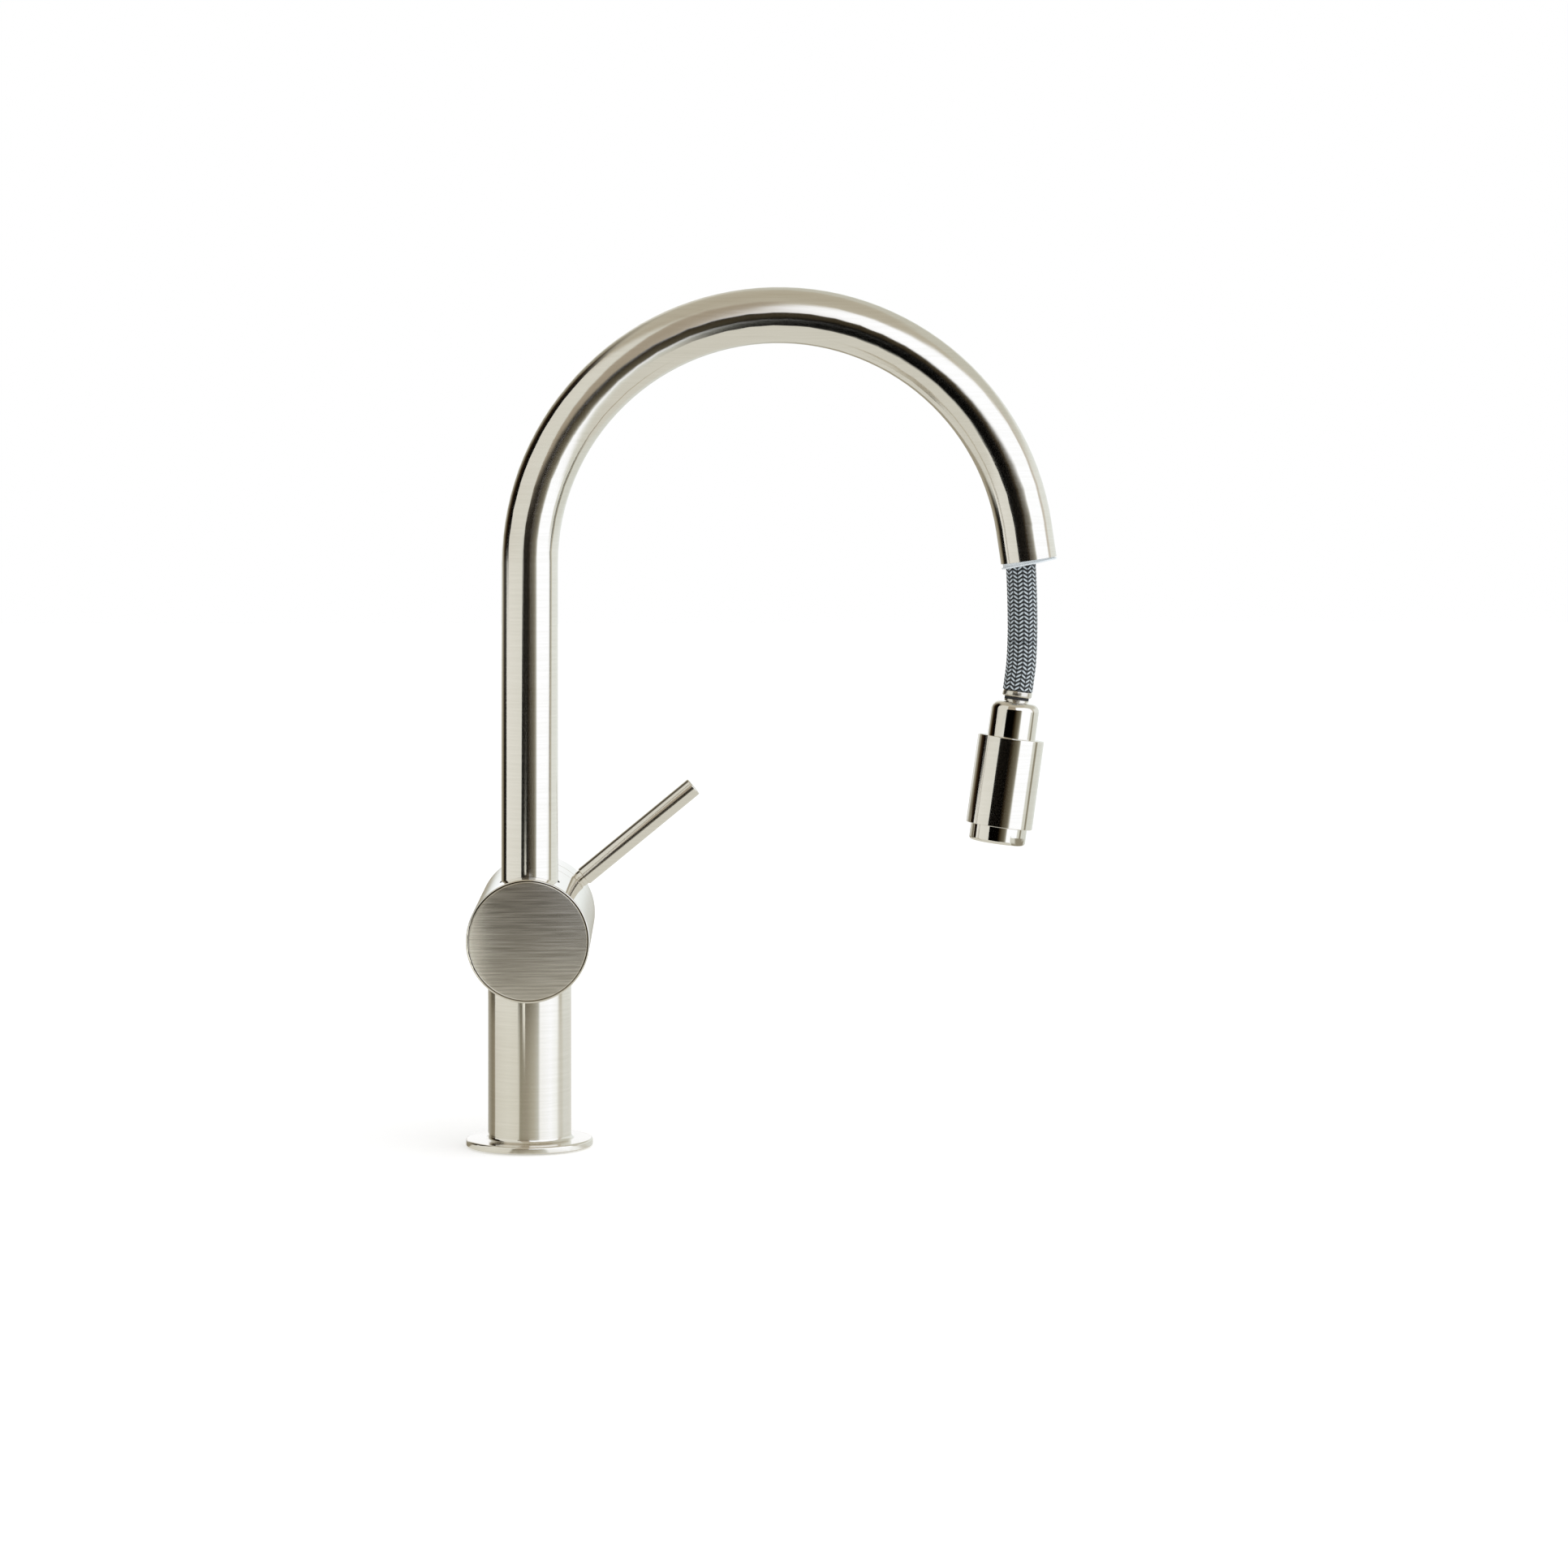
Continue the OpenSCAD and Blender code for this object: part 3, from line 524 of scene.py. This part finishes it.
# the hidden routes: down the riser, and in the column to the end fitting
riser = [Vector((x / 1000, 0, z / 1000)) for x, z in (
    (3, 236), (3, 215), (3, 190), (2.6, 165), (1.6, 140), (0.5, 118), (0, 100), (0, 90))]
columnRoute = [Vector((0, y / 1000, z / 1000)) for y, z in (
    (0, 89.9), (-0.2, 79), (-1.1, 72), (-2.3, 66), (-4, 58), (-5.5, 50), (-6.3, 44),
    (-6.4, 38), (-6.4, 32))]


def hiddenHose(name, points, normal, body, node):
    route = smoothLine(points, hose["hiddenStep"])
    lengths = [hose["hiddenStep"] * i for i in range(len(route))]
    piece = braidedHose(name, route, lengths, normal)
    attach(piece, body)
    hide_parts(node)


hangingHose()
hiddenHose("hoseInSpout", [onArch(a) for a in arch["hiddenAngles"]] + riser, acrossY,
           "spout", "riser_hose")
hiddenHose("hoseInColumn", columnRoute, acrossX, "base", "base_hose")
print("hose made")


slotOf = {s["node"]: s["material_slot"] for s in frame["record"]["subparts"]}
shading = {"merge": 0.000002, "sharp": 26, "flatFaces": 90}


def dressNode(name):
    node = nodes[name]
    finish = satinNodes.get(name, finishes[slotOf[name]])
    for place in node.material_slots:
        place.material = finish
    if not node.material_slots:
        node.data.materials.append(finish)
    weld = node.modifiers.new("weld", "WELD")
    weld.merge_threshold = shading["merge"]
    split = node.modifiers.new("edges", "EDGE_SPLIT")
    split.split_angle = math.radians(shading["sharp"])
    split.use_edge_sharp = False
    level = node.modifiers.new("normals", "WEIGHTED_NORMAL")
    level.weight = shading["flatFaces"]
    for face in node.data.polygons:
        face.use_smooth = True


for name in nodes:
    dressNode(name)
print("nodes dressed")


# What the metal mirrors: screen colours as they show in the metal, by degrees round from the
# camera's side (minus is left) and degrees above the horizon.
upward = [
    (-90, (202, 200, 186)), (-30, (205, 204, 191)), (-6, (207, 205, 192)), (20, (210, 207, 195)),
    (38, (204, 199, 184)), (52, (178, 170, 151)), (90, (170, 161, 140)),
]
doorStops = [
    (-158, (186, 182, 168)), (-148, (162, 157, 141)), (-136, (138, 131, 112)), (-127, (62, 47, 28)),
    (-118, (30, 18, 7)), (-110, (6, 3, 1)), (-90, (4, 2, 1)),
]
doorFootStops = [
    (-150, (147, 142, 123)), (-136, (120, 110, 88)), (-127, (30, 22, 10)), (-120, (4, 3, 1)),
    (-100, (3, 2, 1)),
]
frontStops = [
    (-70, (0, 0, 0)), (-6, (2, 1, 0)), (1, (42, 33, 19)), (8, (74, 67, 50)), (19, (106, 99, 82)),
    (26, (152, 148, 132)), (31, (240, 240, 235)),
]
# patches painted over that, in order: left, foot, right and top in degrees, how soft each side is
# (left, right, foot, top), and a colour or its stops round the room
room = {
    "rightSide": ((102, -34, 188, 20), (10, 20, 10, 14), (223, 224, 216)),
    "rightHigh": ((90, 24, 184, 58), (12, 14, 14, 10), (190, 187, 172)),
    "rightFloor": ((101, -60, 176, -8), (10, 18, 20, 8), (207, 207, 196)),
    "leftFloor": ((-184, -40, -120, -2), (18, 18, 14, 4), (158, 150, 131)),
    "overFront": ((-40, 2, 3, 53), (10, 4, 4, 12), (157, 145, 125)),
    "windowTall": ((13, -25, 66, 46), (9, 14, 9, 9), (255, 255, 255)),
    "windowMiddle": ((5, -21, 78, 41), (6, 6, 8, 9), (255, 255, 255)),
    "windowWide": ((1, -7, 87, 33), (3, 6, 3, 12), (255, 255, 255)),
    "door": ((-154, -1, -88, 50), (14, 4, 2, 14), doorStops),
    "backGlow": ((-184, 0, -150, 25), (10, 12, 6, 10), (255, 255, 255)),
    "doorFoot": ((-142, -17, -99, -1), (14, 4, 7, 2), doorFootStops),
    "front": ((-70, -20, 30, 7.5), (4, 5, 5, 4), frontStops),
    "frontFoot": ((-70, -24, 2.5, -9), (4, 3, 5, 3), (0, 0, 0)),
    "barLow": ((91.5, -38, 102, -7), (3, 6, 9, 3), (138, 131, 112)),
    "barMiddle": ((91, -7, 101, 2), (4, 4, 3, 3), (172, 165, 145)),
    "barHigh": ((90, 2, 100, 34), (4, 4, 3, 10), (195, 186, 172)),
}
nickelTone = (0.825, 0.79, 0.73)


def asLight(colour, angle=0):
    # the metal's own tone is divided out, so that a band shows as listed; towards the back, where
    # the metal mirrors at grazing angles, it has less tone of its own
    grazing = (1 - math.cos(math.radians(abs(angle) / 2))) ** 5
    return [v / (tone + (1 - tone) * grazing) for v, tone in zip(linear(colour), nickelTone)]


def degreesRamp(tree, value, stops, low, high):
    return ramp(tree, mapped(tree, value, (low, high)),
                [((a - low) / (high - low), asLight(c, a)) for a, c in stops])


def compass(tree, x, y):
    # degrees from the camera's side, plus to the right
    angle = sums(tree, "ARCTAN2", x, sums(tree, "MULTIPLY", y, -1))
    return sums(tree, "DEGREES", angle)


def blendColours(tree, factor, a, b):
    node = put(tree, "ShaderNodeMix", data_type="RGBA")
    tree.links.new(factor, node.inputs[0])
    feed(tree, node.inputs[6], a)
    feed(tree, node.inputs[7], b)
    return node.outputs[2]


def paintPatch(tree, under, turned, height, place, soft, colour):
    left, foot, right, top = place
    softLeft, softRight, softFoot, softTop = soft
    middle = (left + right) / 2
    half = (right - left) / 2
    # the way round from the patch's middle, so that a patch may pass the back
    away = sums(tree, "WRAP", sums(tree, "SUBTRACT", turned, middle), 180, -180)
    edges = (
        (away, -half, softLeft),
        (sums(tree, "MULTIPLY", away, -1), -half, softRight),
        (height, foot, softFoot),
        (sums(tree, "MULTIPLY", height, -1), -top, softTop),
    )
    mask = 1
    for value, edge, width in edges:
        mask = sums(tree, "MULTIPLY", smoothStep(tree, value, edge - width / 2, edge + width / 2), mask)
    if isinstance(colour, list):
        over = degreesRamp(tree, turned, colour, -180, 180)
    else:
        over = asLight(colour, middle)
    return blendColours(tree, mask, under, over)


studio = {
    "fill": 0.82,
    "fromRight": 0.48,
    "lampPower": 1.1,
    "lampSize": 1.6,
    "lampPlace": (0.5, -0.5, 2.2),
    "lampAim": (0.05, 0, 0.1),
    "floorTone": 0.93,
    "floorGlow": 0.34,
    "floorSize": (16, 16),
    "floorZ": -0.0006,
}


def plainLight(tree, colour, strength):
    node = put(tree, "ShaderNodeBackground")
    feed(tree, node.inputs[0], colour)
    feed(tree, node.inputs[1], strength)
    return node.outputs[0]


def choose(tree, factor, first, second):
    node = put(tree, "ShaderNodeMixShader")
    for socket, value in zip(node.inputs, (factor, first, second)):
        tree.links.new(value, socket)
    return node.outputs[0]


def makeWorld():
    # white to the camera, even light from the right on plain surfaces, the painted room in the metal
    world = bpy.data.worlds.new("studio")
    bpy.context.scene.world = world
    world.use_nodes = True
    tree = world.node_tree
    tree.nodes.clear()
    coords = put(tree, "ShaderNodeTexCoord")
    parts = put(tree, "ShaderNodeSeparateXYZ")
    tree.links.new(coords.outputs["Generated"], parts.inputs[0])
    x, y, z = parts.outputs
    turned = compass(tree, x, y)
    height = sums(tree, "DEGREES", sums(tree, "ARCSINE", z))
    painted = degreesRamp(tree, height, upward, -90, 90)
    for place, soft, colour in room.values():
        painted = paintPatch(tree, painted, turned, height, place, soft, colour)
    white = (1, 1, 1)
    fill = sums(tree, "ADD", studio["fill"], sums(tree, "MULTIPLY", x, studio["fromRight"]))
    path = put(tree, "ShaderNodeLightPath")
    shiny = sums(tree, "MAXIMUM", path.outputs["Is Glossy Ray"], path.outputs["Is Transmission Ray"])
    seen = choose(tree, shiny, plainLight(tree, white, fill), plainLight(tree, painted, 1))
    seen = choose(tree, path.outputs["Is Camera Ray"], seen, plainLight(tree, white, 1))
    out = put(tree, "ShaderNodeOutputWorld")
    tree.links.new(seen, out.inputs[0])


def addPlane(name, size, place, turn=(0, 0, 0)):
    bpy.ops.object.select_all(action="DESELECT")
    bpy.ops.mesh.primitive_plane_add(size=1)
    plane = bpy.context.active_object
    plane.name = name
    plane.scale = (*size, 1)
    plane.rotation_euler = turn
    plane.location = place
    bpy.ops.object.transform_apply(location=True, rotation=True, scale=True)
    return plane


def shadeWith(tree, surface):
    tree.links.new(surface, tree.nodes["Material Output"].inputs[0])


def emission(tree, colour, strength=1):
    glow = put(tree, "ShaderNodeEmission")
    feed(tree, glow.inputs[0], colour)
    glow.inputs[1].default_value = strength
    return glow.outputs[0]


def makeFloor():
    # the floor that the camera sees, white with the object's soft shadow
    floor = addPlane("floor", studio["floorSize"], (0, 0, studio["floorZ"]))
    mat, tree, shader = newMaterial("paleFloor")
    feed(tree, shader.inputs["Base Color"], (studio["floorTone"],) * 3)
    shader.inputs["Roughness"].default_value = 1
    shader.inputs["Specular IOR Level"].default_value = 0
    both = put(tree, "ShaderNodeAddShader")
    tree.links.new(shader.outputs[0], both.inputs[0])
    tree.links.new(emission(tree, (1, 1, 1), studio["floorGlow"]), both.inputs[1])
    shadeWith(tree, both.outputs[0])
    floor.data.materials.append(mat)
    floor.visible_glossy = False


def onlyInMetal(piece, surface):
    # a piece of the studio that only mirror rays meet; surface: makes its shader in a tree
    mat = bpy.data.materials.new(piece.name + "Glow")
    mat.use_nodes = True
    shadeWith(mat.node_tree, surface(mat.node_tree))
    piece.data.materials.append(mat)
    piece.visible_camera = False
    piece.visible_diffuse = False
    piece.visible_shadow = False


def steepness(tree, low, high):
    # 0 along the surface, 1 where it is looked at from above
    facing = put(tree, "ShaderNodeLayerWeight")
    return smoothStep(tree, sums(tree, "SUBTRACT", 1, facing.outputs["Facing"]), low, high)


# the table top near the object, by degrees round
tableTop = {
    "radius": 0.52,
    "sides": 96,
    "z": -0.001,
    "glow": [
        (-180, (226, 226, 220)), (-164, (181, 178, 166)), (-142, (150, 143, 126)),
        (-126, (130, 121, 100)), (-112, (137, 127, 106)), (-109, (202, 197, 182)),
        (-60, (210, 206, 191)), (-28, (205, 200, 184)), (-24, (138, 131, 109)),
        (-6, (146, 137, 117)), (6, (160, 153, 132)), (16, (174, 168, 150)), (25, (190, 188, 176)),
        (31, (240, 239, 234)), (62, (252, 252, 252)), (82, (240, 240, 234)), (92, (204, 201, 190)),
        (102, (198, 194, 180)), (112, (209, 208, 198)), (180, (226, 226, 220)),
    ],
    "fromAbove": (202, 198, 184),
    "steep": (0.17, 0.34),
    "widen": 0.0083,          # close to the foot a spot is seen at more of an angle than its own
    "nearest": 0.03,
}


def tableSurface(tree):
    x, y, z = objectPlace(tree)
    turned = compass(tree, x, y)
    away = sums(tree, "SQRT", sums(tree, "ADD", sums(tree, "MULTIPLY", x, x), sums(tree, "MULTIPLY", y, y)))
    spread = sums(tree, "DIVIDE", tableTop["widen"], sums(tree, "MAXIMUM", away, tableTop["nearest"]))
    turned = sums(tree, "MULTIPLY", turned, sums(tree, "ADD", 1, spread))
    low = degreesRamp(tree, turned, tableTop["glow"], -180, 180)
    steep = steepness(tree, *tableTop["steep"])
    return emission(tree, blendColours(tree, steep, low, asLight(tableTop["fromAbove"])))


def makeTable():
    bpy.ops.object.select_all(action="DESELECT")
    bpy.ops.mesh.primitive_circle_add(vertices=tableTop["sides"], radius=tableTop["radius"],
                                      fill_type="NGON", location=(0, 0, tableTop["z"]))
    top = bpy.context.active_object
    top.name = "tableTop"
    bpy.ops.object.transform_apply(location=True, rotation=True, scale=True)
    onlyInMetal(top, tableSurface)


# the table ends in front; what lies beyond is a black sheet, with a slanted soft edge on its left
tableEdge = {
    "corners": ((-0.06, -0.335), (0.215, -0.335), (0.205, -1.7), (-1.45, -1.7)),
    "z": -0.0008,
    "front": 0.335,
    "slope": 1.02,
    "soft": (-0.05, 0.12),
    "shiny": (0.17, 0.27),    # at flatter angles the table shows through it
}


def edgeSurface(tree):
    x, y, z = objectPlace(tree)
    beyond = sums(tree, "ADD", y, tableEdge["front"])
    inside = sums(tree, "SUBTRACT", x, sums(tree, "MULTIPLY", beyond, tableEdge["slope"]))
    shown = sums(tree, "MULTIPLY", steepness(tree, *tableEdge["shiny"]),
                 smoothStep(tree, inside, *tableEdge["soft"]))
    clear = put(tree, "ShaderNodeBsdfTransparent").outputs[0]
    return choose(tree, shown, clear, emission(tree, (0, 0, 0)))


def makeTableEdge():
    mesh = bpy.data.meshes.new("tableEdge")
    mesh.from_pydata([(x, y, tableEdge["z"]) for x, y in tableEdge["corners"]], [], [(0, 3, 2, 1)])
    piece = bpy.data.objects.new("tableEdge", mesh)
    bpy.context.scene.collection.objects.link(piece)
    onlyInMetal(piece, edgeSurface)


# a pale wall on the left, in two stretches: the heights, the near and far end on the floor plan, and
# the colours there; it fades to the ceiling's tone at the top
wall = {
    "stretches": (
        ((-0.4, 0.235), (-0.334, -0.5625), (-0.943, 0.306), (214, 211, 199), (224, 220, 209)),
        ((0.235, 1.8), (-0.29, -0.60), (-0.80, 0.075), (210, 207, 194), (210, 205, 192)),
    ),
    "seenAt": (28, 108),      # degrees round at which the near and the far end are seen
    "top": (172, 163, 143),
    "fade": (1.0, 1.4),
}


def makeWall():
    nearAngle, farAngle = wall["seenAt"]
    for i, ((low, high), (ax, ay), (bx, by), near, far) in enumerate(wall["stretches"]):
        piece = addPlane("paleWall" + str(i), (math.hypot(bx - ax, by - ay), high - low),
                         ((ax + bx) / 2, (ay + by) / 2, (low + high) / 2),
                         (math.radians(90), 0, math.atan2(by - ay, bx - ax)))

        def surface(tree):
            x, y, z = objectPlace(tree)
            level = ramp(tree, mapped(tree, x, (ax, bx)),
                         [(0, asLight(near, nearAngle)), (1, asLight(far, farAngle))])
            rise = smoothStep(tree, z, *wall["fade"])
            return emission(tree, blendColours(tree, rise, level, asLight(wall["top"])))

        onlyInMetal(piece, surface)


# a small gridded card in front of the valve, aimed up at its cover, for the cover's light left edge
card = {
    "from": (-0.115, 0.0),
    "to": (-0.064, 0.086),
    "y": -0.36,
    "aim": (74, 171),
    "grid": (0.016, 0.03),    # how far off its aim it still glows, and where it is gone
    "colour": (206, 203, 190),
    "strength": 1.9,
}


def cardSurface(tree):
    facing = put(tree, "ShaderNodeLayerWeight")
    hidden = smoothStep(tree, facing.outputs["Facing"], *card["grid"])
    clear = put(tree, "ShaderNodeBsdfTransparent").outputs[0]
    return choose(tree, hidden, emission(tree, asLight(card["colour"]), card["strength"]), clear)


def makeCard():
    (x0, z0), (x1, z1) = card["from"], card["to"]
    tilt, turn = card["aim"]
    piece = addPlane("griddedCard", (x1 - x0, z1 - z0), ((x0 + x1) / 2, card["y"], (z0 + z1) / 2),
                     (math.radians(tilt), 0, math.radians(turn)))
    onlyInMetal(piece, cardSurface)


def makeLamp():
    data = bpy.data.lights.new("softLamp", "AREA")
    data.shape = "DISK"
    data.size = studio["lampSize"]
    data.energy = studio["lampPower"]
    lamp = bpy.data.objects.new("softLamp", data)
    lamp.location = studio["lampPlace"]
    aim = Vector(studio["lampAim"]) - lamp.location
    lamp.rotation_euler = aim.to_track_quat("-Z", "Y").to_euler()
    lamp.visible_glossy = False
    bpy.context.scene.collection.objects.link(lamp)


makeWorld()
makeFloor()
makeTable()
makeTableEdge()
makeWall()
makeCard()
makeLamp()
print("studio set")
